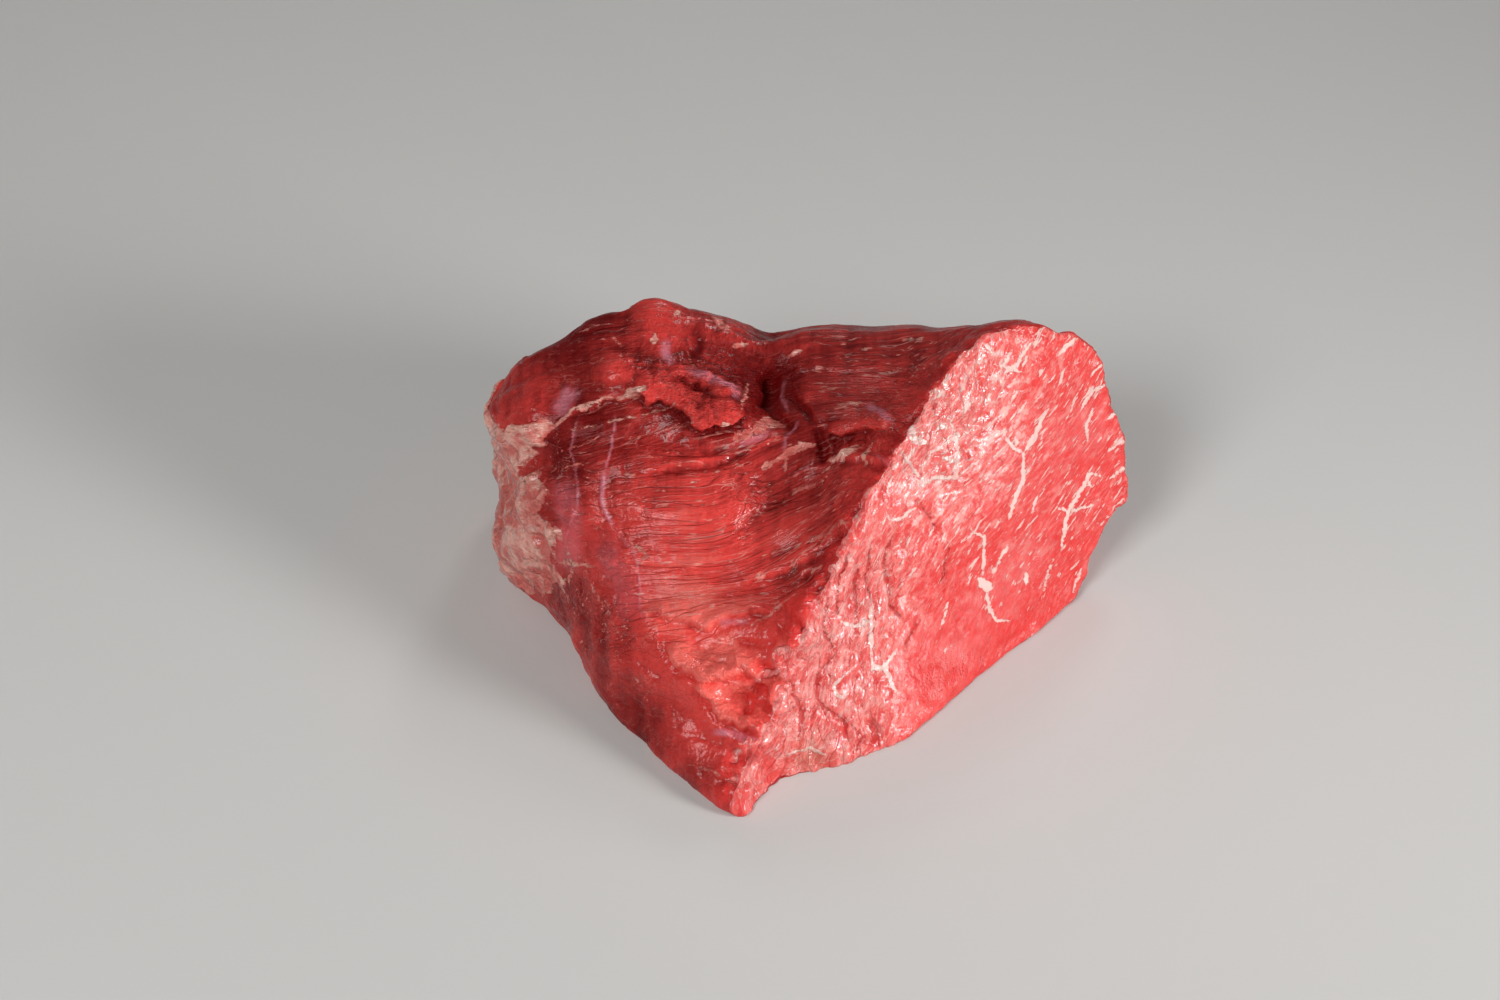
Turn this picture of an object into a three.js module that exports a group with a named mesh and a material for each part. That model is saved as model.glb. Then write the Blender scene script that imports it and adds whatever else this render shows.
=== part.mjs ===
// A raw wagyu beef roast in one piece: a wedge of muscle that lies on its flat underside. Its grain runs from
// the butcher's cut at the right to the blunt, fat-capped end at the left. Millimetres, +Z up, +Y to the back.
import * as THREE from "three";

// Six sections across the grain, from the cut face to the left end. Each stands on the table at its toe, runs
// back along its heading and leans back from upright. Its outline is [distance from the toe, height] in its own
// plane, as a smooth curve through its toe, three places up the front flank, the top, the shoulder behind it,
// three places down the back and the heel.
const SECTIONS = [
  {
    toe: [-19.5, -73], heading: 38.4, lean: 24,
    outline: [[-2, 0], [24, 28], [37, 44], [76, 74], [117, 95], [151, 78.5], [157, 57], [156, 28], [142, 16.5],
      [126, 0]],
  },
  {
    toe: [-38, -57], heading: 46, lean: 14,
    outline: [[-1, 0], [10, 22], [25, 34], [64, 55], [117, 77], [141, 68], [149, 48], [151, 26], [147, 9],
      [139, 0]],
  },
  {
    toe: [-56, -33], heading: 58, lean: 6,
    outline: [[-2, 0], [-1, 18], [15, 39], [45, 59], [87, 71.5], [104, 63], [111, 47], [115, 28], [110, 10],
      [101, 0]],
  },
  {
    toe: [-71, -5.5], heading: 70, lean: 0,
    outline: [[0, 0], [-3, 18], [2, 38], [18, 58], [58, 75.5], [73, 69], [81, 56], [85, 32], [81, 12], [73, 0]],
  },
  {
    toe: [-84, 10], heading: 82, lean: 0,
    outline: [[0, 1], [-2, 16], [1, 41], [13, 56], [34, 64], [46, 59], [53, 48], [57, 30], [54, 12], [46, 1]],
  },
  {
    toe: [-91.5, 17.5], heading: 88, lean: 0,
    outline: [[0, 2], [-1, 14], [3, 36], [12, 50], [24, 54], [34, 49], [40, 40], [43, 28], [41, 14], [33, 3]],
  },
];

// The rings of the cut close on a line across its middle, in the plane of its outline
const CUT_SPINE_ENDS = [[26, 12], [112, 48]];
// Those of the left end close on a nearly upright line
const END_SPINE_ENDS = [[-93.5, 34, 14], [-93.5, 39, 42]];

// How far the foot of the cut sags out of its plane, at even steps from the toe
const FOOT_SAG = [0, -2.5, 4.5, 8, 6.5, 4.5, 1.5, 1, -2];
const SAG_STEP = 16;
const SAG_HEIGHT = 24;
const SAG_DEPTH = 40;

// Swells and hollows of the surface: each follows a path over it, and stands out or in by its height there
const RELIEF = [
  // the torn sheet over the top, the ragged edge that hangs in front of it and the pocket at its right
  { height: 3, width: 10, path: [[-58, 33, 70], [-41, 33, 70], [-22, 26, 67]] },
  { height: 3, width: 7, path: [[-46, 27, 68], [-32, 19, 64], [-21, 21, 65]] },
  { height: -1.5, width: 6, path: [[-50, 16, 63], [-36, 10, 60], [-22, 14, 61]] },
  { height: -5, width: 10, path: [[-12, 35, 69], [-12, 20, 64]] },
  // the hollow that runs down beside the ridge, and the flap of muscle above it
  { height: -2.5, width: 9, path: [[-17, -9, 48], [-12, 1, 54], [-2, 4, 56]] },
  { height: 2.5, width: 8, path: [[4, 21, 64], [13, 20, 66], [22, 15, 69]] },
  { height: -2, width: 5, path: [[3, 11, 60], [12, 12, 62], [20, 4, 66]] },
  // the full middle of the flank, and the slack below it
  { height: 2.5, width: 26, path: [[-46, -6, 49], [-26, -8, 49]] },
  { height: -1.2, width: 12, path: [[-40, -24, 38], [-14, -24, 41]] },
  // torn strips low on the front, with bare patches between them
  { height: 2.4, width: 6, path: [[-42, -35, 27], [-34, -44, 23], [-19, -45, 27]] },
  { height: 2.4, width: 6, path: [[-33, -47, 21], [-21, -56, 16], [-13, -60, 14]] },
  { height: -1.8, width: 6, path: [[-32, -39, 27], [-20, -39, 30]] },
  { height: -1.8, width: 5, path: [[-24, -50, 21], [-14, -52, 22]] },
  // the low front flank and the beak of its toe
  { height: 1.5, width: 14, path: [[-31, -66, 5], [-25, -71, 5]] },
  { height: 1.5, width: 6, path: [[-20, -74, 3], [-19, -72, 8]] },
  // the two fat-capped lobes of the left end, with the groove between them
  { height: 3.5, width: 11, path: [[-93, 36, 52], [-80, 28, 58]] },
  { height: -3.5, width: 9, path: [[-91, 30, 34], [-90, 20, 40], [-84, 16, 47], [-77, 15, 53]] },
  { height: 2, width: 14, path: [[-93, 18, 16], [-84, 8, 20]] },
  // lumps along the far side of the top
  { height: 2, width: 10, path: [[-86, 46, 60], [-78, 48, 65]] },
  { height: 1.5, width: 10, path: [[-66, 48, 71], [-62, 60, 66]] },
  { height: 1.5, width: 7, path: [[-47, 54, 76], [-44, 60, 72]] },
  { height: -1.5, width: 7, path: [[-55, 46, 75], [-52, 60, 70]] },
  { height: -2, width: 8, path: [[-14, 48, 71], [-12, 60, 62]] },
  { height: 1, width: 9, path: [[2, 46, 72], [4, 58, 64]] },
  { height: 1, width: 8, path: [[30, 44, 79], [30, 54, 74]] },
  { height: 2, width: 14, path: [[44, 40, 84], [64, 50, 78]] },
  // knuckles and nicks of the rim
  { height: 3, width: 8, path: [[-2, -34, 41], [0, -38, 36]] },
  { height: -2, width: 6, path: [[-7, -46, 27], [-4, -43, 30]] },
  { height: 1.5, width: 6, path: [[-12, -54, 20], [-9, -50, 23]] },
  { height: -1.5, width: 6, path: [[1, -27, 49], [4, -24, 52]] },
  { height: 1.5, width: 7, path: [[10, -17, 56], [14, -11, 61]] },
  { height: 3, width: 5, path: [[97, 32, 23], [95, 30, 20]] },
  // cracks of the cut, and the nick in its foot
  { height: -1.2, width: 7, path: [[23, -12, 48], [20, -18, 42], [23, -21, 33]] },
  { height: -1, width: 5, path: [[12, -22, 45], [13, -30, 32]] },
  { height: -1.5, width: 5, path: [[5, -39, 27], [1, -48, 19]] },
  { height: -2, width: 6, path: [[16, -48, 8], [19, -51, 0]] },
  // the back: one long furrow between two muscles, a lump over it and a shallow one under it
  { height: -3.5, width: 12, path: [[70, 70, 34], [20, 76, 40], [-30, 72, 44], [-64, 66, 38]] },
  { height: 2.5, width: 18, path: [[50, 66, 58], [0, 70, 60]] },
  { height: 2, width: 16, path: [[40, 76, 18], [-20, 74, 20]] },
];

// Unevenness everywhere: broad and soft, with ridges of muscle fibre along the grain
const LUMP_SIZE = 13;
const LUMP_HEIGHT = 0.9;
const FIBRE_WIDTH = 2.1; // in grid steps round the section
const FIBRE_LENGTH = 7; // in rings
const FIBRE_HEIGHT = 0.8;
const FIBRE_FADE = 9; // rings before the left end
const SEED = 11;
const STEADY_HEIGHT = 6; // below it the surface moves less and less up or down, so that the underside stays flat

// Grid of the surface
const SKIN_STEPS = [10, 8, 16, 16, 12, 8, 8, 6, 6]; // from each place of an outline to the next
const FLOOR_STEPS = [8, 8, 8]; // along the table, from heel to toe
const RING_STEPS = [8, 8, 7, 6, 4, 4]; // from each section to the next, and from the last to its spine
const FACE_RINGS = 13; // from the rim of the cut to its spine

const { degToRad, smoothstep } = THREE.MathUtils;

// The directions of a section's plane: along its heading, and up its lean
function sectionAxes({ heading, lean }) {
  const along = new THREE.Vector3(Math.cos(degToRad(heading)), Math.sin(degToRad(heading)), 0);
  const back = new THREE.Vector3(-along.y, along.x, 0);
  const up = back.clone().multiplyScalar(Math.sin(degToRad(lean)));
  up.z = Math.cos(degToRad(lean));
  return { along, back, up };
}

// A place in the section's own plane as a point in space
function placeIn(section, [distance, height]) {
  const { along, up } = sectionAxes(section);
  return new THREE.Vector3(...section.toe, 0).addScaledVector(along, distance).addScaledVector(up, height);
}

const CUT_SPINE = new THREE.Line3(...CUT_SPINE_ENDS.map((place) => placeIn(SECTIONS[0], place)));
const END_SPINE = new THREE.Line3(...END_SPINE_ENDS.map((place) => new THREE.Vector3(...place)));

// The section's outline as points in space, closed along the table from heel to toe
function sectionPoints(section) {
  const skin = section.outline.map((place) => placeIn(section, place));
  const heel = skin[skin.length - 1];
  const floor = [];
  for (let k = 1; k < FLOOR_STEPS.length; k++) floor.push(heel.clone().lerp(skin[0], k / FLOOR_STEPS.length));
  return [...skin, ...floor];
}

function nearestOn(line, p) {
  return line.closestPointToPoint(p, true, new THREE.Vector3());
}

// The smooth curve through four even steps, between the second and the third: numbers, then points
function curve(a, b, c, d, t) {
  return 0.5 * (2 * b + (c - a) * t + (2 * a - 5 * b + 4 * c - d) * t * t + (3 * b - a - 3 * c + d) * t * t * t);
}
function pointOnCurve(a, b, c, d, t) {
  return new THREE.Vector3(
    curve(a.x, b.x, c.x, d.x, t),
    curve(a.y, b.y, c.y, d.y, t),
    curve(a.z, b.z, c.z, d.z, t),
  );
}

// The section as a closed ring of points
function ringOf(points) {
  const n = points.length;
  const ring = [];
  [...SKIN_STEPS, ...FLOOR_STEPS].forEach((steps, i) => {
    const at = (k) => points[(i + k + n) % n];
    for (let s = 0; s < steps; s++) ring.push(pointOnCurve(at(-1), at(0), at(1), at(2), s / steps));
  });
  return ring;
}

// Rings from the rim of the cut to the left end, with the table under all of them
function skinRings() {
  const rings = SECTIONS.map((section) => ringOf(sectionPoints(section)));
  const rows = [...rings, rings[rings.length - 1].map((p) => nearestOn(END_SPINE, p))];
  const rowAt = (k) => rows[THREE.MathUtils.clamp(k, 0, rows.length - 1)];
  const out = [];
  RING_STEPS.forEach((steps, k) => {
    const [before, from, to, after] = [rowAt(k - 1), rowAt(k), rowAt(k + 1), rowAt(k + 2)];
    for (let s = 0; s < steps; s++)
      out.push(from.map((p, i) => pointOnCurve(before[i], p, to[i], after[i], s / steps)));
  });
  for (const p of out.flat()) p.z = Math.max(p.z, 0);
  return out;
}

// Rings across the cut, from just inside the rim to just round its spine
function faceRings(rim) {
  const out = [];
  for (let k = 1; k < FACE_RINGS; k++)
    out.push(rim.map((p) => p.clone().lerp(nearestOn(CUT_SPINE, p), k / FACE_RINGS)));
  return out;
}

// The sag of the foot at a distance from the toe
function sagAt(distance) {
  const last = FOOT_SAG.length - 1;
  const x = THREE.MathUtils.clamp(distance / SAG_STEP, 0, last - 1e-6);
  const k = Math.floor(x);
  const at = (i) => FOOT_SAG[THREE.MathUtils.clamp(i, 0, last)];
  return curve(at(k - 1), at(k), at(k + 1), at(k + 2), x - k);
}

// The foot of the cut sags outwards over the table
function sagFoot(p) {
  const cut = SECTIONS[0];
  const { along, back, up } = sectionAxes(cut);
  const out = back.clone().negate();
  const fromToe = p.clone().sub(new THREE.Vector3(...cut.toe, 0));
  const behind = -fromToe.dot(new THREE.Vector3().crossVectors(along, up).normalize());
  const share = (1 - smoothstep(p.z, 0, SAG_HEIGHT)) * (1 - smoothstep(behind, 0, SAG_DEPTH));
  p.addScaledVector(out, sagAt(fromToe.dot(along)) * share);
}

// A repeatable number from -1 to 1 for each whole-numbered place
function dice(x, y, z) {
  let h = Math.imul(x, 374761393) ^ Math.imul(y, 668265263) ^ Math.imul(z + SEED, 2147483629);
  h = Math.imul(h ^ (h >>> 13), 1274126177);
  return ((h ^ (h >>> 16)) >>> 0) / 2147483648 - 1;
}

// Smooth unevenness from -1 to 1, with bumps about one unit apart
function noise(x, y, z) {
  const [i, j, k] = [Math.floor(x), Math.floor(y), Math.floor(z)];
  const [u, v, w] = [smoothstep(x - i, 0, 1), smoothstep(y - j, 0, 1), smoothstep(z - k, 0, 1)];
  let sum = 0;
  for (let c = 0; c < 8; c++) {
    const [a, b, d] = [c & 1, (c >> 1) & 1, c >> 2];
    sum += dice(i + a, j + b, k + d) * (a ? u : 1 - u) * (b ? v : 1 - v) * (d ? w : 1 - w);
  }
  return sum;
}

// How far the surface stands out at a point because of one swell or hollow
function swell({ height, width, path }, p) {
  let nearest = Infinity;
  for (let k = 1; k < path.length; k++) {
    const stretch = new THREE.Line3(new THREE.Vector3(...path[k - 1]), new THREE.Vector3(...path[k]));
    nearest = Math.min(nearest, nearestOn(stretch, p).distanceTo(p));
  }
  return height * (1 - smoothstep(nearest, 0, width));
}

// Triangles across a narrow loop of points, laid like rungs while both sides are climbed from its low end
function closedLoop(points, loop, spine) {
  const n = loop.length;
  const axis = spine.delta(new THREE.Vector3());
  const reach = loop.map((index) => points[index].dot(axis));
  const end = reach.indexOf(Math.max(...reach));
  let a = reach.indexOf(Math.min(...reach));
  let b = a;
  const corners = [];
  while (a !== end || b !== end) {
    const [nextA, nextB] = [(a + 1) % n, (b + n - 1) % n];
    const climbA = b === end || (a !== end && reach[nextA] < reach[nextB]);
    const rung = climbA ? [b, nextA, a] : [a, b, nextB];
    if (new Set(rung).size === 3) corners.push(...rung.map((k) => loop[k]));
    if (climbA) a = nextA;
    else b = nextB;
  }
  return corners;
}

// Triangles over all the rings, each square split along its shorter diagonal, and over both ends
function trianglesOf(points, ringCount, n) {
  const corners = [];
  for (let r = 0; r < ringCount - 1; r++)
    for (let i = 0; i < n; i++) {
      const j = (i + 1) % n;
      const [a, b, c, d] = [r * n + i, r * n + j, (r + 1) * n + j, (r + 1) * n + i];
      const short = points[a].distanceTo(points[c]) < points[b].distanceTo(points[d]);
      corners.push(...(short ? [a, b, c, a, c, d] : [a, b, d, b, c, d]));
    }
  const first = Array.from({ length: n }, (_, i) => i);
  const last = first.map((i) => (ringCount - 1) * n + i).reverse();
  return [...corners, ...closedLoop(points, first, CUT_SPINE), ...closedLoop(points, last, END_SPINE)];
}

// Each point moves along the surface's own direction there
function addRelief(points, normals, fibreAt) {
  const n = new THREE.Vector3();
  points.forEach((p, i) => {
    n.fromBufferAttribute(normals, i);
    n.z *= smoothstep(p.z, 0, STEADY_HEIGHT);
    const lump = LUMP_HEIGHT * noise(p.x / LUMP_SIZE, p.y / LUMP_SIZE, p.z / LUMP_SIZE);
    const out = RELIEF.reduce((sum, stroke) => sum + swell(stroke, p), lump + fibreAt(i));
    p.addScaledVector(n, out);
    p.z = Math.max(p.z, 0);
  });
}

function buildBeef() {
  const skin = skinRings();
  const face = faceRings(skin[0]).reverse();
  const rings = [...face, ...skin];
  const n = skin[0].length;
  const points = rings.flat();
  points.forEach(sagFoot);

  const smooth = new THREE.BufferGeometry().setFromPoints(points);
  smooth.setIndex(trianglesOf(points, rings.length, n));
  smooth.computeVertexNormals();
  const fibreAt = (i) => {
    const ring = Math.floor(i / n);
    const share = ring < face.length ? 0 : 1 - smoothstep(ring, rings.length - FIBRE_FADE, rings.length);
    return share * FIBRE_HEIGHT * noise((i % n) / FIBRE_WIDTH, ring / FIBRE_LENGTH, 0);
  };
  addRelief(points, smooth.attributes.normal, fibreAt);

  const beef = new THREE.BufferGeometry().setFromPoints(points);
  beef.setIndex(trianglesOf(points, rings.length, n));

  // The origin is on the table, under the middle of the whole piece
  beef.computeBoundingBox();
  const middleOfBox = beef.boundingBox.getCenter(new THREE.Vector3());
  return beef.translate(-middleOfBox.x, -middleOfBox.y, 0);
}

const beef = new THREE.Mesh(
  buildBeef(),
  new THREE.MeshStandardMaterial({ color: 0x9c1f22, roughness: 0.35, metalness: 0 }),
);
beef.name = "beef";

const roast = new THREE.Group();
roast.add(beef);
export default roast;
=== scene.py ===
"""A raw, marbled beef roast: a wedge of muscle with a butcher's cut at its right and fat at its left end."""

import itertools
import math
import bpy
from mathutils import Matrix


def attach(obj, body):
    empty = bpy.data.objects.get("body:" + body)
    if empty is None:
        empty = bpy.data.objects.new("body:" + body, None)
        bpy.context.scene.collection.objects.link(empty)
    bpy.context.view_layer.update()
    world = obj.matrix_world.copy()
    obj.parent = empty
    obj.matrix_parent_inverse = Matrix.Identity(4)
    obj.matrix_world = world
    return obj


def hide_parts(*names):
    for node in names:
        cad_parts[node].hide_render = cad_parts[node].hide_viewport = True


bl_info = {
    "name": "Raw beef roast",
    "version": (1, 0, 0),
    "blender": (4, 5, 0),
    "location": "View3D > Sidebar > Roast",
    "description": "Builds a raw, marbled beef roast that lies on a pale table",
    "category": "Add Mesh",
}

import bmesh
import bpy
import numpy as np
from mathutils import Vector, kdtree

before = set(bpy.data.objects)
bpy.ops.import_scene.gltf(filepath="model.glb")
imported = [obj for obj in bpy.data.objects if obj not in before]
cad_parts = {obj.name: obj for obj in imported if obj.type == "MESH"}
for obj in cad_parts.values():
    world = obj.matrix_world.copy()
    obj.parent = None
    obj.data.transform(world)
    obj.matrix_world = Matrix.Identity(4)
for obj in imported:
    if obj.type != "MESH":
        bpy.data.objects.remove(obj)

MM = 0.001

# The camera, in millimetres, and its picture. Places on the near side of the roast are given in pixels of
# that picture, from its top left corner, so that each is where the camera sees it. Reaches and the climbs of
# the grain are pixels too, where their heading doesn't say millimetres.
PICTURE = (1500, 1000)
SENSOR = 36
LENS = 70
CAMERA_AT = np.array((-18.9, -588.5, 639.9))
CAMERA_TILT = math.radians(45)
CAMERA_RIGHT = np.array((1, 0, 0))
CAMERA_UP = np.array((0, math.sin(CAMERA_TILT), math.cos(CAMERA_TILT)))
CAMERA_AHEAD = np.array((0, math.cos(CAMERA_TILT), -math.sin(CAMERA_TILT)))
PIXELS_PER_MM = 3.3  # at the roast

# The plane of the cut, in millimetres: it starts at the toe, runs back along its heading and leans back.
# Its middle is given along it and up it.
CUT_TOE = np.array((-20.4, -72.6, 0))
CUT_HEADING = math.radians(38.4)
CUT_LEAN = math.radians(24)
CUT_ALONG = np.array((math.cos(CUT_HEADING), math.sin(CUT_HEADING), 0))
CUT_BACK = np.array((-math.sin(CUT_HEADING), math.cos(CUT_HEADING), 0))
CUT_UP = CUT_BACK * math.sin(CUT_LEAN) + np.array((0, 0, math.cos(CUT_LEAN)))
CUT_OUT = np.cross(CUT_ALONG, CUT_UP)
CUT_MIDDLE = (80, 40)
# How its fibre bundles and its cracks lean, in degrees, and by how much less at its top right
BUNDLE_LEAN = (40, 13)
CRACK_LEAN = (62, 0)

# Soft borders, from where each starts to where it is whole: first cosines, for how far a place faces the
# camera or out of the cut, and then millimetres, in front of the plane of the cut or above the table
CAMERA_FACING = (-0.15, 0.2)
CUT_FACING = (0.58, 0.78)
CUT_BORDER = (-7, -3)
SPILL_BORDER = (-0.6, 0.2)
LIP_BORDER = (-9, -1)
TABLE_BORDER = (0, 4)
FOOT_BORDER = (2, 14)

# The rim round the cut: from which to which cosine it faces, where it ends behind the cut's plane and how far
# it reaches, in millimetres
RIM_FACING = (0.5, 0.8)
RIM_BEHIND = -6
RIM_REACH = 3.2

# What share of the relief is left at the table
RELIEF_AT_TABLE = 0.6

# The most that a field of distances says, in millimetres
FIELD_LIMIT = 4.0

# Half of a stroke, as a share of its width: at its ends, and how much more in its middle
STROKE_ENDS = 0.25
STROKE_SWELL = 0.35

# How the copy of the solid is made round and even
WELD_GAP = 1e-6  # metres
ROUNDING_LEVELS = 2
SMOOTHING_ROUNDS = 5

# Where the lines of the grain climb towards the right: from x, to x, climb, middle height, half height
GRAIN_CLIMBS = {
    "beside the ridge": (690, 880, 62, 520, 110),
    "under the torn sheet": (550, 700, 32, 425, 45),
    "over the torn sheet": (640, 770, -24, 370, 35),
}
# Where they arch: middle, half width, rise, half height
GRAIN_ARCHES = {
    "flap": ((862, 428), 26, 14, 26),
    "low crease": ((725, 610), 60, 12, 25),
}

# Layers of unevenness: height and size of the bumps in millimetres, seed. Where there are three sizes, they
# are along the grain and twice across it, or else along X, Y and Z.
CUT_SPILL = ((2.4, 4.5, 6), (1.3, 2, 7))
GRAIN_BENDS = ((1.6, 18, 5),)
LIP_LUMPS = ((1.3, 7, 65), (0.9, 3.2, 66))
SOFT_LUMPS = ((0.5, 9, 67),)
TORN_EDGE_LUMPS = ((0.8, 1.8, 62), (1.2, 4.5, 63))
FAT_EDGE_LUMPS = ((1.0, 3.5, 71),)
FAT_EDGE_FRINGE = ((2.4, (14, 1.7, 1.7), 72),)
FAT_LUMPS = ((1.0, 4.5, 76), (0.6, 2.4, 77))
FAT_LOBES = ((1.9, 8, 78),)
RIM_CRUMBS = ((1.5, 5, 81), (1.0, 2.4, 82))
FOOT_FOLDS = ((1.5, (7, 7, 16), 83),)
# The same where the height is a cosine, at the edge of the cut, or degrees, where the lines of the cut lean
CUT_EDGE = ((0.2, 2.4, 3), (0.14, 6, 4))
LEAN_SWAYS = ((6, 30, 9),)
# The same where it is a share of the fibre height
FIBRES = ((0.5, (12, 1.6, 1.6), 51), (0.8, (26, 4, 4), 53), (0.4, (3.2, 7, 7), 54))

# Lumps from -1 to 1: size in millimetres, seed
CRUMB_CLODS = ((7, 4, 4), 41)
CRUMB_GRAINS = ((3, 1.5, 1.5), 31)
SHRED_CLODS = ((5, 5, 3), 61)
VEILS_BEHIND = ((34, 16, 16), 75)

# Narrow gaps between such lumps: size, seed, width as a share of the lumps' height
CRUMB_GAPS = ((9, 3.6, 3.6), 43, 0.22)
FINE_CRUMB_GAPS = ((4.5, 2.4, 2.4), 44, 0.25)
FIBRE_GAPS = ((22, 3.4, 3.4), 55, 0.2)
SHRED_GAPS = ((4.5, 4.5, 3), 64, 0.25)

# Fat on the far side shows where these layers rise above a level, in millimetres
SEAMS_BEHIND = ((3, (30, 2.4, 2.4), 73),)
SEAMS_LEVEL = 2.05
BLOTCHES_BEHIND = ((8, (16, 7, 7), 74),)
BLOTCHES_LEVEL = 5.6

# How far paths wander, in pixels, and the size of their bends in millimetres
PATH_WANDER = ((1.8, 5), (0.6, 2))

# Veins of fat in the cut, and the ligament at its foot: width in millimetres, path
CUT_VEINS = {
    "fork, trunk": (1.2, [(1020, 452), (1024, 464), (1023, 481), (1015, 500), (1009, 518)]),
    "fork, left": (1.0, [(1005, 434), (1013, 447), (1021, 455)]),
    "fork, right": (1.1, [(1047, 411), (1039, 424), (1031, 442), (1021, 455)]),
    "fork, knot": (1.8, [(1036, 432), (1029, 446)]),
    "middle, top": (0.9, [(969, 527), (976, 534), (984, 536), (985, 552), (982, 578)]),
    "middle, knot": (2.6, [(979, 580), (990, 588)]),
    "middle, spur": (0.8, [(991, 578), (1000, 558), (1008, 545)]),
    "middle, hook": (0.9, [(986, 588), (990, 608), (996, 622), (1010, 621)]),
    "island": (1.3, [(1027, 573), (1026, 583)]),
    "low left, top": (1.2, [(873, 594), (871, 621), (870, 640), (871, 656)]),
    "low left, foot": (1.3, [(871, 654), (874, 668), (886, 668), (892, 683), (898, 695)]),
    "low left, arm": (1.1, [(841, 622), (856, 627), (871, 621)]),
    "low left, spur": (0.9, [(898, 649), (886, 663), (878, 669)]),
    "low left, hook": (0.8, [(845, 674), (836, 686), (838, 696), (847, 699)]),
    "right, upper": (0.9, [(1094, 408), (1087, 424), (1087, 441)]),
    "right, long": (1.1, [(1103, 478), (1089, 474), (1078, 497), (1070, 512), (1061, 550)]),
    "right, arm": (0.8, [(1057, 507), (1073, 513), (1093, 505)]),
    "right, tooth": (0.8, [(1086, 474), (1090, 488)]),
    "rim, knot": (2.0, [(911, 426), (913, 438), (926, 443)]),
    "rim, net": (1.2, [(952, 420), (955, 440), (957, 460), (957, 478), (936, 477), (922, 486)]),
    "rim, net, spur": (0.9, [(941, 458), (955, 462)]),
    "top, left": (1.0, [(1011, 350), (1003, 366), (1021, 372)]),
    "top, middle": (1.1, [(1031, 343), (1019, 362), (1005, 374)]),
    "top, right": (1.3, [(1074, 340), (1058, 354)]),
    "top, small": (0.8, [(992, 354), (984, 343)]),
    "edge, first": (0.8, [(1102, 363), (1089, 377)]),
    "edge, second": (0.9, [(1110, 383), (1094, 392), (1079, 411)]),
    "edge, third": (0.9, [(1122, 406), (1107, 419)]),
    "edge, fourth": (0.8, [(1125, 438), (1107, 453)]),
    "edge, fifth": (0.8, [(1129, 466), (1109, 479)]),
    "lip, streak": (0.8, [(903, 450), (916, 470), (928, 484)]),
    "lip, ring": (0.7, [(886, 512), (892, 520), (903, 519), (914, 508)]),
    "short, first": (0.7, [(1038, 496), (1032, 514)]),
    "short, second": (0.6, [(949, 602), (940, 629)]),
    "short, third": (0.6, [(1053, 558), (1043, 592)]),
    "short, fourth": (0.6, [(1081, 568), (1073, 592)]),
    "ligament": (0.8, [(784, 758), (797, 750), (812, 749), (826, 755)]),
}

# Cracks in the cut: width in millimetres, path
CUT_CRACKS = {
    "lip, first": (0.7, [(858, 568), (855, 603), (859, 623)]),
    "lip, second": (0.6, [(887, 566), (891, 603), (899, 613), (907, 623)]),
    "lip, third": (0.6, [(894, 536), (885, 566), (889, 595)]),
    "lip, fourth": (0.6, [(839, 588), (837, 617)]),
    "lip, fifth": (0.6, [(848, 556), (841, 590)]),
    "lip, sixth": (0.6, [(871, 546), (867, 580), (874, 602)]),
    "lip, seventh": (0.6, [(830, 598), (825, 625), (833, 652)]),
    "middle, first": (0.45, [(951, 548), (941, 583)]),
    "middle, second": (0.4, [(917, 621), (906, 650)]),
    "middle, third": (0.3, [(915, 500), (930, 515), (941, 537)]),
    "upper": (0.3, [(947, 393), (929, 416)]),
    "round the lump": (1.0, [(834, 657), (820, 676), (818, 700), (827, 716)]),
    "foot, nick": (2.2, [(872, 725), (877, 744)]),
    "foot, first": (1.0, [(790, 688), (805, 712), (799, 737)]),
    "foot, second": (0.9, [(822, 704), (845, 722), (850, 744)]),
    "foot, third": (0.8, [(851, 722), (861, 737), (858, 750)]),
}

# How coarse the cut's crumb is, how thick its marbling, and where it is browned: middle, reach, share. The
# crumb and the marbling have a share outside their patches too.
CRUMB_ELSEWHERE = 0.15
CRUMB_PATCHES = {
    "upper left": ((925, 440), 75, 0.9),
    "lip": ((850, 590), 62, 1.0),
    "low left": ((795, 690), 70, 1.0),
    "foot": ((835, 735), 60, 0.9),
    "top": ((980, 365), 60, 0.5),
    "toe": ((765, 778), 34, 0.7),
}
MARBLING_ELSEWHERE = 0.12
MARBLING_PATCHES = {
    "upper right": ((1040, 390), 110, 1.0),
    "upper left": ((940, 450), 80, 0.8),
    "right": ((1100, 460), 90, 0.8),
    "middle": ((1000, 530), 120, 0.65),
    "lip": ((860, 600), 70, 0.25),
}
BROWNED_PATCHES = {
    "foot": ((812, 756), 20, 1.0),
}

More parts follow.
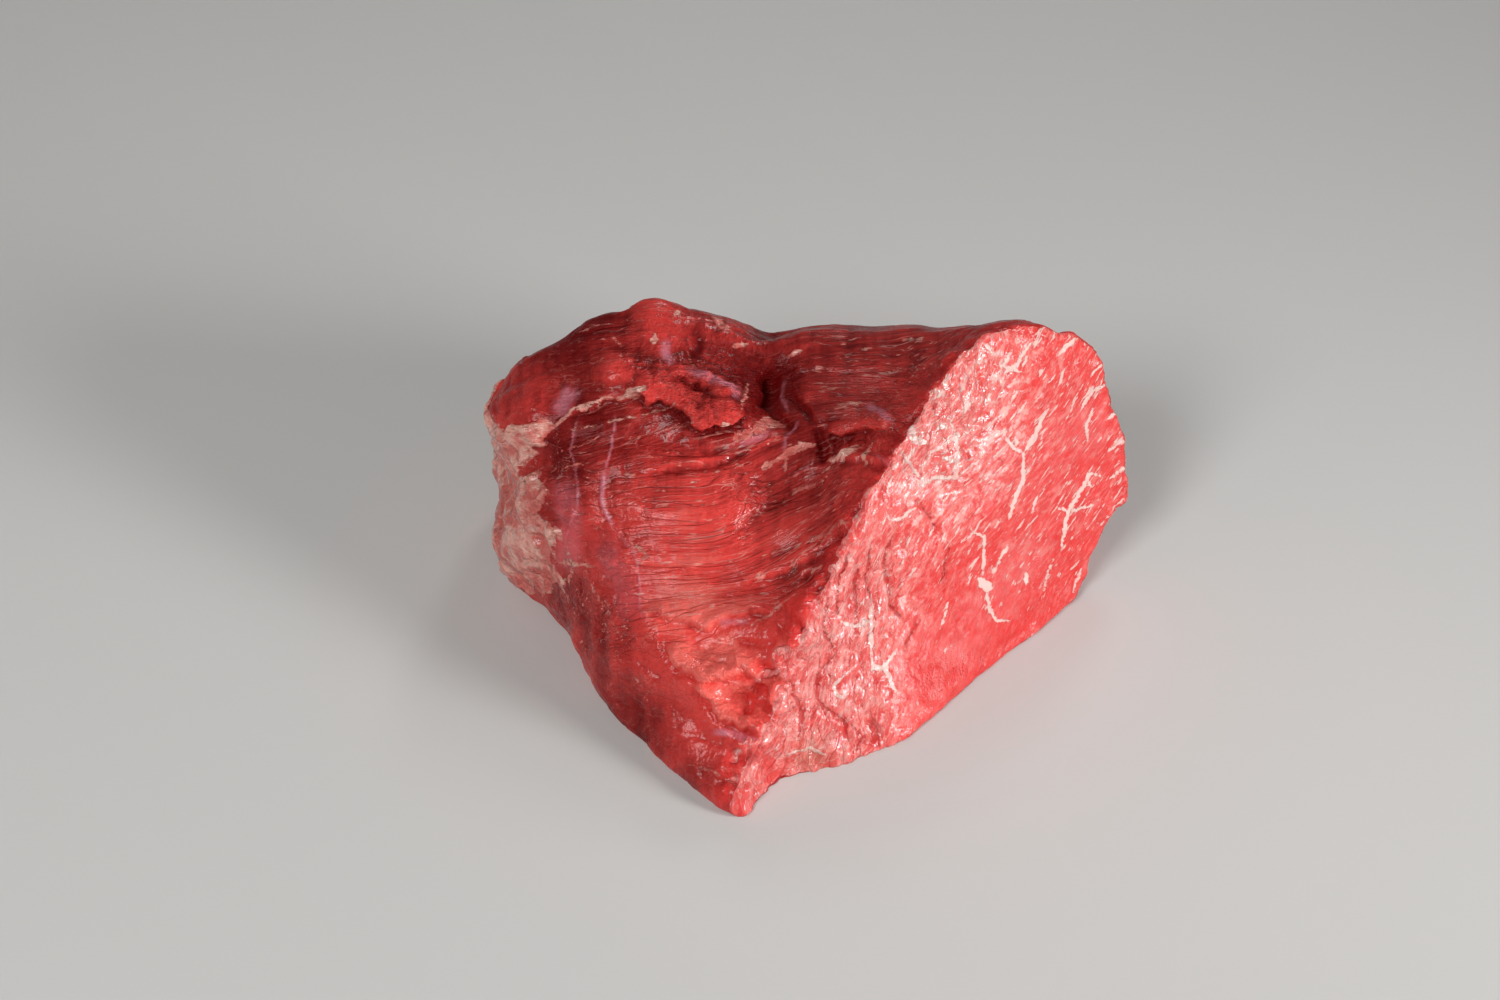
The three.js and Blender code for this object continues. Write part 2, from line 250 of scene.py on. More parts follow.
# Lines and flecks of fat on the grown sides: width in millimetres, path
FAT_LINES = {
    "seam, upper": (1.3, [(546, 434), (576, 408), (612, 398), (650, 395)]),
    "seam, middle": (0.8, [(573, 430), (616, 422), (640, 414), (675, 407)]),
    "seam, lower": (0.6, [(630, 440), (660, 431), (694, 423)]),
    "seam, left": (0.6, [(554, 453), (580, 445), (606, 435)]),
    "seam, far left": (0.6, [(556, 471), (586, 461)]),
    "knuckle under the sheet": (3.2, [(626, 395), (647, 390)]),
    "lump, first": (2.8, [(731, 440), (752, 431)]),
    "lump, second": (3.4, [(752, 431), (767, 424), (782, 424)]),
    "lump, third": (1.8, [(760, 469), (775, 461)]),
    "lump, fourth": (2.4, [(772, 463), (789, 452), (814, 443)]),
    "lump, spur": (1.2, [(787, 455), (786, 472)]),
    "lump, fifth": (2.6, [(828, 460), (845, 456), (860, 447)]),
    "tag": (2.0, [(865, 464), (871, 444)]),
    "ridge, long": (1.0, [(774, 553), (794, 546), (826, 533), (863, 512)]),
    "ridge, short": (0.7, [(754, 580), (779, 568)]),
    "ridge, upper": (0.9, [(792, 492), (812, 484), (826, 477)]),
    "low, whitish": (1.0, [(750, 625), (772, 613), (792, 600)]),
    "low, thin": (0.5, [(688, 764), (715, 773), (747, 791)]),
    "low, left": (0.7, [(633, 678), (642, 689), (647, 702)]),
    "low, membrane edge": (0.5, [(740, 745), (766, 739)]),
    "flap, upper": (1.5, [(834, 408), (850, 403), (866, 402)]),
    "top, knob": (3.0, [(651, 341), (656, 341)]),
    "top, first": (1.8, [(712, 317), (720, 324), (730, 330)]),
    "top, second": (1.3, [(733, 346), (748, 342)]),
    "top, third": (1.2, [(672, 318), (682, 311)]),
    "top, fourth": (1.3, [(790, 355), (803, 351)]),
    "top, fifth": (2.2, [(813, 369), (821, 368)]),
    "top, sixth": (1.0, [(858, 351), (882, 346)]),
    "top, seventh": (0.9, [(903, 341), (927, 337)]),
    "top, eighth": (0.9, [(878, 373), (907, 369)]),
    "top, ninth": (0.8, [(820, 392), (850, 388)]),
    "sheet, right edge": (1.0, [(749, 381), (745, 400), (738, 413)]),
    "sheet, left": (0.8, [(612, 339), (623, 347)]),
    "sheet, rib": (0.8, [(687, 350), (695, 368)]),
    "sheet, tip": (1.5, [(721, 424), (727, 421)]),
    "cap, streak": (1.3, [(556, 562), (596, 566)]),
    "cap, first tail": (0.8, [(563, 588), (568, 604)]),
    "cap, second tail": (0.8, [(590, 578), (597, 602)]),
    "cap, third tail": (1.0, [(565, 543), (571, 565), (566, 592)]),
    "knot of the sheath": (1.2, [(630, 543), (648, 556), (639, 563)]),
    "flank, first": (0.7, [(688, 482), (708, 484)]),
    "flank, second": (0.6, [(690, 505), (714, 504)]),
}

# The fat cap of the left end: its border on the near side, and the X in millimetres where it starts on the
# far side
FAT_CAP = [
    (460, 400), (486, 408), (508, 428), (530, 420), (556, 420), (545, 440), (528, 462), (524, 476),
    (538, 473), (546, 495), (538, 519), (563, 527), (553, 553), (560, 584), (532, 596), (500, 584),
    (460, 560),
]
FAT_CAP_STARTS = -86

# Silverskin: width in millimetres, strength, path
SILVERSKIN = {
    "left thread": (0.5, 0.7, [(580, 411), (571, 451), (577, 483), (578, 507), (567, 533), (563, 555)]),
    "left veil": (7.0, 0.26, [(560, 470), (572, 520), (566, 580)]),
    "right thread, top": (0.55, 0.75, [(617, 413), (612, 447), (604, 475)]),
    "right thread, broad": (1.2, 1.0, [(605, 468), (603, 487), (605, 510), (614, 530)]),
    "right thread, foot": (0.6, 0.75, [(610, 525), (633, 550), (638, 568), (642, 607), (647, 630)]),
    "right veil": (8.0, 0.2, [(600, 535), (622, 580), (634, 625)]),
    "beside the knob": (2.4, 0.75, [(668, 338), (664, 352), (674, 366)]),
    "over the sheet": (2.4, 0.75, [(684, 368), (706, 378), (728, 388), (744, 400)]),
    "pocket": (1.2, 0.3, [(786, 376), (782, 396), (790, 414)]),
    "flap": (2.0, 0.75, [(864, 403), (880, 410), (893, 425)]),
    "under the lumps": (2.0, 0.5, [(735, 446), (755, 439), (774, 429)]),
    "over the left seam": (5.0, 0.6, [(574, 386), (567, 400), (555, 415)]),
    "low front": (2.2, 0.9, [(710, 731), (736, 735), (763, 745)]),
    "ridge": (1.5, 0.5, [(876, 455), (889, 467)]),
    "crease": (1.5, 0.5, [(718, 624), (750, 620)]),
    "valley": (1.0, 0.5, [(800, 420), (786, 440), (784, 454)]),
}

# Edges of torn sheets of muscle: height, reach behind the edge in millimetres, path from left to right. A
# hollow lies below each, from where it starts to the foot of the step up, in millimetres from the line.
TORN_HOLLOW = -3.5
TORN_STEP = (-0.4, 0.7)
TORN_EDGES = {
    "sheet": (
        2.8,
        14,
        [(630, 386), (651, 402), (676, 408), (691, 426), (702, 431), (714, 423), (732, 424), (750, 412)],
    ),
    "sheet, upper layer": (1.4, 8, [(668, 372), (700, 384), (722, 398), (746, 396)]),
    "left seam": (0.9, 5, [(566, 415), (604, 402), (640, 399), (657, 402)]),
    "flap": (1.8, 9, [(824, 431), (836, 438), (856, 432), (891, 434)]),
    "flap, under": (1.2, 6, [(838, 462), (862, 462), (890, 468)]),
    "low, first strip": (2.4, 9, [(664, 648), (686, 672), (698, 680), (722, 682), (750, 675)]),
    "low, second strip": (2.2, 8, [(690, 686), (716, 712), (742, 730), (767, 741)]),
    "low, third strip": (1.6, 6, [(706, 662), (730, 664), (748, 672), (764, 690), (772, 712)]),
    "crease": (1.6, 7, [(648, 615), (684, 622), (706, 629), (736, 618), (774, 610)]),
    "flank step": (0.7, 5, [(598, 560), (640, 566), (690, 566), (732, 559)]),
    "beside the ridge": (1.2, 6, [(742, 592), (770, 575), (800, 566), (832, 548)]),
    "shoulder": (1.0, 6, [(640, 470), (690, 468), (740, 456), (790, 440)]),
}

# Furrows of the grown sides: depth, width in millimetres, path
FURROWS = {
    "ridge": (1.2, 4.0, [(740, 533), (765, 510), (793, 493), (830, 478)]),
    "pocket": (4.0, 6.5, [(768, 370), (772, 390), (766, 410)]),
    "pocket, foot": (1.6, 3.0, [(766, 404), (780, 420), (800, 430)]),
    "right of the pocket": (1.4, 3.0, [(786, 393), (806, 408), (814, 428)]),
    "left of the flap": (1.6, 3.2, [(814, 424), (824, 448), (820, 466)]),
    "under the sheet": (1.2, 3.5, [(702, 438), (730, 432), (748, 424)]),
    "upper flank, first": (0.9, 2.5, [(690, 455), (730, 452), (767, 440)]),
    "upper flank, second": (0.7, 2.0, [(653, 471), (700, 467), (744, 458)]),
    "ridge, low": (0.9, 2.5, [(798, 566), (825, 548), (853, 528)]),
    "low, behind the lip": (0.9, 3.0, [(766, 656), (760, 690), (774, 714)]),
    "low, across": (1.0, 2.5, [(733, 641), (760, 645), (778, 640)]),
    "top, first": (1.2, 4.0, [(690, 322), (700, 345), (684, 362)]),
    "top, second": (1.0, 3.5, [(600, 345), (630, 352), (650, 350)]),
}

# Smooth swells: height, reach in millimetres, middle
SWELLS = {
    "red bulge": (1.8, 7.0, (612, 370)),
    "under the crease": (1.5, 12.0, (685, 602)),
    "lip, upper knuckle": (2.4, 4.0, (803, 607)),
    "lip, lower knuckle": (1.7, 4.0, (792, 640)),
    "left lobe": (1.2, 7.0, (512, 438)),
    "back lump": (1.4, 8.0, (650, 312)),
}

# Where the grown sides are torn into shreds: middle, reach, share
SHREDDED_PATCHES = {
    "sheet": ((705, 398), 40, 1.0),
    "sheet, left": ((650, 372), 32, 0.7),
    "low, upper strip": ((700, 672), 34, 0.5),
    "low, right": ((748, 690), 34, 0.22),
    "low, lower strip": ((738, 722), 26, 0.3),
    "behind the lip": ((785, 670), 26, 0.25),
    "pocket": ((775, 385), 45, 0.6),
    "flap": ((850, 455), 28, 0.5),
    "top": ((720, 335), 60, 0.4),
}

# Where the fibres of the grown sides lie in plain lines: middle, reach, share. Outside these patches there
# are shares for the near and the far side.
LINED_ELSEWHERE = 0.15
LINED_BEHIND = 0.5
LINED_PATCHES = {
    "flank": ((705, 530), 85, 1.0),
    "ridge": ((810, 525), 65, 0.9),
    "top right": ((880, 375), 75, 0.9),
    "under the sheet": ((720, 450), 50, 0.5),
    "low flank": ((680, 620), 55, 0.5),
    "top left": ((610, 325), 60, 0.45),
    "left muscle": ((580, 470), 42, 0.6),
    "left foot": ((590, 620), 45, 0.5),
}

# How light the grown sides are, and where they differ: middle, reach, change. Much of this is painted light
# and shade. The sides that turn to the lamps are painted lighter: the flank, the ridge and the low front.
# Painted shade goes where the sides turn away or sink: in the pocket, left of the flap and of the threads, on
# the left shoulder and along the low edge. The rest is the lean's own darker and lighter tone.
LIGHT_ELSEWHERE = 0.55
PAINTED_LIGHT_AND_TONE_PATCHES = {
    "flank": ((675, 530), 80, 0.32),
    "under the crease": ((690, 610), 65, 0.3),
    "low front": ((718, 690), 72, 0.52),
    "low edge": ((640, 728), 50, -0.34),
    "toe": ((735, 790), 30, 0.1),
    "red bulge": ((612, 370), 22, 0.2),
    "sheet": ((705, 398), 42, -0.3),
    "behind the lip": ((765, 675), 42, 0.4),
    "left of the threads": ((584, 452), 50, -0.34),
    "valley": ((785, 485), 40, 0.08),
    "ridge": ((815, 535), 50, 0.18),
    "pocket": ((771, 388), 26, -0.85),
    "left of the flap": ((815, 440), 30, -0.3),
    "back": ((850, 335), 130, -0.05),
    "beside the rim": ((905, 398), 32, 0.2),
    "left shoulder": ((590, 345), 60, -0.35),
    "left foot": ((570, 610), 40, -0.08),
}

# Upright bands of relief: middle, reach, height in millimetres. Their size is pixels across and upright,
# before their seed.
BANDS = ((9, 90, 1), 68)
BAND_PATCHES = {
    "low on the left": ((612, 650), 55, 0.9),
}

# Large odd numbers that mix the bits of a whole-numbered place
MIXERS = (374761393, 668265263, 2147483629, 1274126177)

# The table's side, and the softboxes round it, in metres: place, aim, side, and how many degrees each lights
TABLE_SIDE = 8
SOFTBOXES = {
    "key": ((1.0, -0.42, 0.38), (0, 0, 0.04), 0.3, 64),
    "fill": ((-0.55, -0.66, 0.88), (0, 0, 0.04), 0.5, 180),
    "back": ((0.25, 0.9, 0.75), (0, 0, 0.06), 0.2, 180),
}


def smooth_share(values, low, high):
    """From 0 at low to 1 at high, smoothly."""
    t = np.clip((values - low) / (high - low), 0, 1)
    return t * t * (3 - 2 * t)


def dice(cells, seed):
    """A repeatable number from -1 to 1 for each whole-numbered place."""
    x, y, z = (cells[:, k].astype(np.uint32) for k in range(3))
    first, second, third, last = (np.uint32(mixer) for mixer in MIXERS)
    mixed = x * first ^ y * second ^ (z + np.uint32(seed)) * third
    mixed = (mixed ^ (mixed >> np.uint32(13))) * last
    return (mixed ^ (mixed >> np.uint32(16))) / 2.0**31 - 1


def noise(points, size, seed):
    """Smooth unevenness from -1 to 1, with bumps of that size: one number, or one for each direction."""
    steps = points / size
    cells = np.floor(steps).astype(np.int64)
    t = steps - cells
    t = t * t * (3 - 2 * t)
    total = np.zeros(len(points))
    for corner in itertools.product((0, 1), repeat=3):
        weight = np.prod(np.where(corner, t, 1 - t), axis=1)
        total += weight * dice(cells + corner, seed)
    return total


def rough_noise(points, size, seed):
    """Three layers of unevenness, each half the size and half the height of the one before."""
    size = np.asarray(size, float)
    height = 1 + 1 / 2 + 1 / 4
    return sum(noise(points, size / 2**k, seed + k) / 2**k for k in range(3)) / height


def layers(points, given):
    """The sum of layers of unevenness, each given as height, size and seed."""
    return sum(height * noise(points, size, seed) for height, size, seed in given)


def seen_by_camera(points):
    """Where the camera's picture shows each point, in pixels."""
    away = points - CAMERA_AT
    scale = PICTURE[0] * LENS / SENSOR / (away @ CAMERA_AHEAD)
    return np.column_stack(
        (PICTURE[0] / 2 + away @ CAMERA_RIGHT * scale, PICTURE[1] / 2 - away @ CAMERA_UP * scale)
    )


def near_path(places, path):
    """For each place, how far it is from the path in millimetres, how far along the path (0 to 1), and on
    which side: 1 is above a path that runs to the right, and -1 is below it."""
    path = np.array(path, float)
    steps = np.diff(path, axis=0)
    lengths = np.hypot(*steps.T)
    nearest = np.full(len(places), np.inf)
    along = np.zeros(len(places))
    side = np.zeros(len(places))
    walked = 0
    for start, step, length in zip(path, steps, lengths):
        t = np.clip((places - start) @ step / length**2, 0, 1)
        gap = places - start - t[:, None] * step
        far = np.hypot(*gap.T)
        closer = far < nearest
        nearest = np.where(closer, far, nearest)
        along = np.where(closer, (walked + t * length) / lengths.sum(), along)
        side = np.where(closer, np.sign(step[1] * gap[:, 0] - step[0] * gap[:, 1]), side)
        walked += length
    return nearest / PIXELS_PER_MM, along, side


def taper(along, ends=0.25):
    """From 0 at both ends of a path to 1 away from them."""
    return smooth_share(np.minimum(along, 1 - along), -0.02, ends)


def inside_outline(places, outline):
    """How far inside a closed outline each place is, in millimetres; below zero outside it."""
    x, y = places.T
    inside = np.zeros(len(places), bool)
    for (x0, y0), (x1, y1) in zip(outline, outline[1:] + outline[:1]):
        crosses = (y0 > y) != (y1 > y)
        inside ^= crosses & (x < x0 + (y - y0) * (x1 - x0) / (y1 - y0 + 1e-9))
    far = near_path(places, outline + outline[:1])[0]
    return np.where(inside, far, -far)


def patches(places, named):
    """The sum of soft round patches, each given as middle, reach and share."""
    total = np.zeros(len(places))
    for middle, reach, share in named.values():
        total += share * np.exp(-(np.hypot(*(places - middle).T) / reach) ** 2)
    return total


def stroke_field(places, strokes):
    """How far inside the nearest stroke each place is, in millimetres; below zero outside all of them."""
    field = np.full(len(places), -FIELD_LIMIT)
    for width, path in strokes.values():
        far, along, _ = near_path(places, path)
        field = np.maximum(field, width * (STROKE_ENDS + STROKE_SWELL * taper(along)) - far)
    return field


def kept_where(share, field):
    """The field of distances where the share is 1, and far outside where it is 0."""
    return field * share - FIELD_LIMIT * (1 - share)


def distance_to(points, chosen):
    """How far each point is from the nearest of the chosen ones."""
    tree = kdtree.KDTree(int(chosen.sum()))
    for place, point in enumerate(points[chosen]):
        tree.insert(point, place)
    tree.balance()
    return np.array([tree.find(point)[2] for point in points])


class Skin:
    """The roast's fine surface: its points in millimetres, its directions, and the masks that go by place."""

    def __init__(self, points, normals):
        self.points = points
        self.normals = normals
        self.seen = seen_by_camera(points)
        self.facing = smooth_share(-normals @ CAMERA_AHEAD, *CAMERA_FACING)
        self.crumb = np.clip(CRUMB_ELSEWHERE + patches(self.seen, CRUMB_PATCHES), 0, 1)
        in_front = (points - CUT_TOE) @ CUT_OUT
        turned = normals @ CUT_OUT
        spilled = in_front + self.crumb * layers(points, CUT_SPILL)
        faces_out = smooth_share(turned + layers(points, CUT_EDGE), *CUT_FACING)
        self.cut = faces_out * smooth_share(in_front, *CUT_BORDER)
        self.cut = np.maximum(self.cut, smooth_share(spilled, *SPILL_BORDER))
        self.grown = 1 - self.cut
        self.lip = smooth_share(in_front, *LIP_BORDER) * self.grown
        edge = (turned > RIM_FACING[0]) & (turned < RIM_FACING[1]) & (in_front > RIM_BEHIND)
        self.rim = np.exp(-((distance_to(points, edge) / RIM_REACH) ** 2))
        self.above_table = smooth_share(points[:, 2], *TABLE_BORDER)
        self.torn = np.clip(patches(self.seen, SHREDDED_PATCHES) * self.facing, 0, 1)
        self.wander = self.seen + sum(
            reach * np.column_stack((noise(points, size, size), noise(points, size, size + 20)))
            for reach, size in PATH_WANDER
        )
        self.grain = self.grain_places()
        self.cut_grain = self.cut_places(*BUNDLE_LEAN)
        self.upright = self.cut_places(*CRACK_LEAN)

    def grain_places(self):
        """The points, moved so that every line of the grain runs straight along X."""
        x, y = self.seen.T
        lift = np.zeros(len(x))
        for start, end, climb, middle, half in GRAIN_CLIMBS.values():
            lift += climb * smooth_share(x, start, end) * np.exp(-(((y - middle) / half) ** 2))
        for middle, half_width, rise, half_height in GRAIN_ARCHES.values():
            across = (x - middle[0]) / half_width
            upwards = (y - middle[1]) / half_height
            lift += rise * np.exp(-(across**2) - upwards**2)
        bent = layers(self.points, GRAIN_BENDS)
        return self.points - (lift / PIXELS_PER_MM + bent)[:, None] * CAMERA_UP

    def cut_places(self, degrees, less_at_top):
        """The points in the cut's own plane, turned so that what leans by that many degrees runs along X. At
        the top right of the cut, it leans by some degrees less."""
        from_toe = self.points - CUT_TOE
        a = from_toe @ CUT_ALONG - CUT_MIDDLE[0]
        b = from_toe @ CUT_UP - CUT_MIDDLE[1]
        lean = degrees - less_at_top * smooth_share(a + b, -20, 60)
        turn = np.radians(lean + layers(self.points, LEAN_SWAYS))
        return np.column_stack(
            (a * np.cos(turn) + b * np.sin(turn), b * np.cos(turn) - a * np.sin(turn), from_toe @ CUT_OUT)
        )


def narrow_gaps(points, size, seed, width):
    """1 along the lines where an unevenness passes through zero, and 0 away from them."""
    return 1 - smooth_share(np.abs(noise(points, size, seed)), 0, width)


def cut_relief(skin, shape, cracks):
    """How far the cut's crumb stands out, less the depth of its cracks, in millimetres."""
    clods = rough_noise(skin.cut_grain, *CRUMB_CLODS)
    grains = noise(skin.cut_grain, *CRUMB_GRAINS)
    gaps = narrow_gaps(skin.upright, *CRUMB_GAPS)
    gaps = np.maximum(gaps, 0.6 * narrow_gaps(skin.upright, *FINE_CRUMB_GAPS))
    relief = shape.crumb_height * (skin.crumb * (0.8 * clods + 0.2 * grains - 0.8 * gaps) + 0.08 * grains)
    return relief - shape.crack_depth * smooth_share(cracks, -0.9, 0.3)


def grown_relief(skin, shape):
    """How far fibres, shreds, torn edges, furrows and swells stand out from the grown sides."""
    gaps = narrow_gaps(skin.grain, *FIBRE_GAPS)
    relief = shape.fibre_height * (layers(skin.grain, FIBRES) - 0.8 * gaps)
    clods = rough_noise(skin.points, *SHRED_CLODS)
    clefts = narrow_gaps(skin.points, *SHRED_GAPS)
    relief += shape.tear_height * skin.torn * (0.7 * clods - 0.5 * clefts)
    relief += skin.lip * layers(skin.points, LIP_LUMPS)
    relief *= 1 - 0.6 * skin.rim
    relief += layers(skin.points, SOFT_LUMPS)
    flat = np.column_stack((skin.seen, np.zeros(len(skin.seen))))
    relief += noise(flat, *BANDS) * skin.facing * patches(skin.seen, BAND_PATCHES)

    ragged = layers(skin.points, TORN_EDGE_LUMPS)
    for height, reach, path in TORN_EDGES.values():
        far, along, side = near_path(skin.wander, path)
        above = far * side + ragged
        step = smooth_share(above, *TORN_STEP)
        sheet = step * (1 - smooth_share(above, 1, reach))
        hollow = smooth_share(above, TORN_HOLLOW, TORN_STEP[0]) * (1 - step)
        relief += shape.tear_height * height * skin.facing * taper(along, 0.12) * (sheet - 0.45 * hollow)
    for depth, width, path in FURROWS.values():
        far, along, _ = near_path(skin.wander, path)
        relief -= depth * skin.facing * taper(along) * (1 - smooth_share(far, 0, width / 2 + 0.8))
    for height, reach, middle in SWELLS.values():
        far = np.hypot(*(skin.seen - middle).T) / PIXELS_PER_MM
        relief += height * skin.facing * np.exp(-((far / reach) ** 2))
    return relief


def fat_field(skin):
    """How far inside the fat of the grown sides each point is, in millimetres; below zero in the lean."""
    x = skin.points[:, 0]
    cap = inside_outline(skin.seen, FAT_CAP)
    far_side = (FAT_CAP_STARTS - x) * 0.8
    ragged = layers(skin.points, FAT_EDGE_LUMPS) + layers(skin.grain, FAT_EDGE_FRINGE)
    cap = np.where(skin.facing > 0.5, cap, far_side) + ragged
    lines = kept_where(skin.facing, stroke_field(skin.wander, FAT_LINES))
    seams = layers(skin.grain, SEAMS_BEHIND) - SEAMS_LEVEL - FIELD_LIMIT * skin.facing
    blotches = layers(skin.grain, BLOTCHES_BEHIND) - BLOTCHES_LEVEL - 2 * FIELD_LIMIT * skin.facing
    field = np.maximum.reduce([cap, lines, seams, blotches])
    return np.clip(field, -FIELD_LIMIT, FIELD_LIMIT)


def silverskin_field(skin):
    """How thick the silverskin is, from 0 to 1."""
    field = np.zeros(len(skin.points))
    for width, strength, path in SILVERSKIN.values():
        far, along, _ = near_path(skin.wander, path)
        thick = 1 - smooth_share(far, width * 0.2, width * 0.75)
        field = np.maximum(field, strength * taper(along) * thick)
    veils = smooth_share(noise(skin.grain, *VEILS_BEHIND), 0.25, 0.6) * 0.55
    return np.where(skin.facing > 0.5, field * skin.facing, veils * (1 - skin.facing))


def store(mesh, name, values):
    """Keeps one number, or three, for each vertex under a name that the material reads."""
    kind, part = ("FLOAT", "value") if values.ndim == 1 else ("FLOAT_VECTOR", "vector")
    mesh.attributes.new(name, kind, "POINT").data.foreach_set(part, values.astype(np.float32).ravel())


def fine_copy(node, fineness):
    """A smooth, evenly meshed copy of the solid."""
    piece = bpy.data.objects.new("roast", node.data.copy())
    bpy.context.scene.collection.objects.link(piece)
    welded = bmesh.new()
    welded.from_mesh(piece.data)
    bmesh.ops.remove_doubles(welded, verts=welded.verts, dist=WELD_GAP)
    welded.to_mesh(piece.data)
    welded.free()
    rounded = piece.modifiers.new("rounded", "SUBSURF")
    rounded.levels = rounded.render_levels = ROUNDING_LEVELS
    even = piece.modifiers.new("even", "REMESH")
    even.mode = "VOXEL"
    even.voxel_size = fineness
    soft = piece.modifiers.new("soft", "SMOOTH")
    soft.factor = 0.5
    soft.iterations = SMOOTHING_ROUNDS
    evaluated = piece.evaluated_get(bpy.context.evaluated_depsgraph_get())
    mesh = bpy.data.meshes.new_from_object(evaluated)
    piece.modifiers.clear()
    piece.data = mesh
    mesh.name = "roast"
    return piece


def read_skin(mesh):
    """The skin of the mesh's vertices."""
    count = len(mesh.vertices)
    points = np.empty(count * 3, np.float32)
    normals = np.empty(count * 3, np.float32)
    mesh.vertices.foreach_get("co", points)
    mesh.vertices.foreach_get("normal", normals)
    return Skin(points.reshape(-1, 3).astype(float) / MM, normals.reshape(-1, 3).astype(float))


def whole_relief(skin, shape, fat, silver, cracks):
    """How far all of it stands out, in millimetres: cut, grown sides, fat, silverskin, rim and foot."""
    relief = skin.cut * cut_relief(skin, shape, cracks) + skin.grown * grown_relief(skin, shape)
    lumps = 0.4 + layers(skin.points, FAT_LUMPS)
    lobes = layers(skin.points, FAT_LOBES) * smooth_share(fat, 0.5, 2.5)
    relief += skin.grown * (lumps * smooth_share(fat, 0.1, 1.3) + lobes + 0.25 * silver)
    relief += skin.rim * (0.25 + skin.crumb) * layers(skin.points, RIM_CRUMBS)
    foot = 1 - smooth_share(skin.points[:, 2], *FOOT_BORDER)
    return relief + foot * (0.3 + skin.crumb) * layers(skin.points, FOOT_FOLDS)


def lift(mesh, skin, relief):
    """Moves each vertex out by the relief. What lies on the table stays on it."""
    direction = skin.normals.copy()
    direction[:, 2] *= skin.above_table
    share = RELIEF_AT_TABLE + (1 - RELIEF_AT_TABLE) * skin.above_table
    moved = skin.points + direction * (relief * share)[:, None]
    moved[:, 2] = np.maximum(moved[:, 2], 0)
    mesh.vertices.foreach_set("co", (moved * MM).astype(np.float32).ravel())
    mesh.update()


def carve(piece, shape):
    """Gives the smooth copy its relief, and stores what its material goes by."""
    mesh = piece.data
    skin = read_skin(mesh)
    fat = fat_field(skin)
    silver = silverskin_field(skin)
    cracks = kept_where(skin.cut, stroke_field(skin.wander, CUT_CRACKS))
    relief = whole_relief(skin, shape, fat, silver, cracks)
    lift(mesh, skin, relief)

    lined = LINED_ELSEWHERE + patches(skin.seen, LINED_PATCHES) - 0.6 * skin.torn
    masks = {
        "cut": skin.cut,
        "relief": relief,
        "lip": skin.lip,
        "veins": kept_where(skin.cut, stroke_field(skin.wander, CUT_VEINS)),
        "fat": fat,
        "silverskin": silver,
        # painted light and shade of the grown sides, with the lean's own tone
        "light": LIGHT_ELSEWHERE + patches(skin.seen, PAINTED_LIGHT_AND_TONE_PATCHES) * skin.facing,
        "browned": patches(skin.seen, BROWNED_PATCHES) * skin.cut,
        "crumb": skin.crumb,
        "cracks": cracks,
        "torn": skin.torn,
        "lined": np.clip(np.where(skin.facing > 0.5, lined, LINED_BEHIND), 0, 1),
        "upright": skin.upright * MM,
        "marbling": np.clip(MARBLING_ELSEWHERE + patches(skin.seen, MARBLING_PATCHES), 0, 1),
        "grain": skin.grain * MM,
        "cut_grain": skin.cut_grain * MM,
    }
    for name, values in masks.items():
        store(mesh, name, values)
    mesh.shade_smooth()


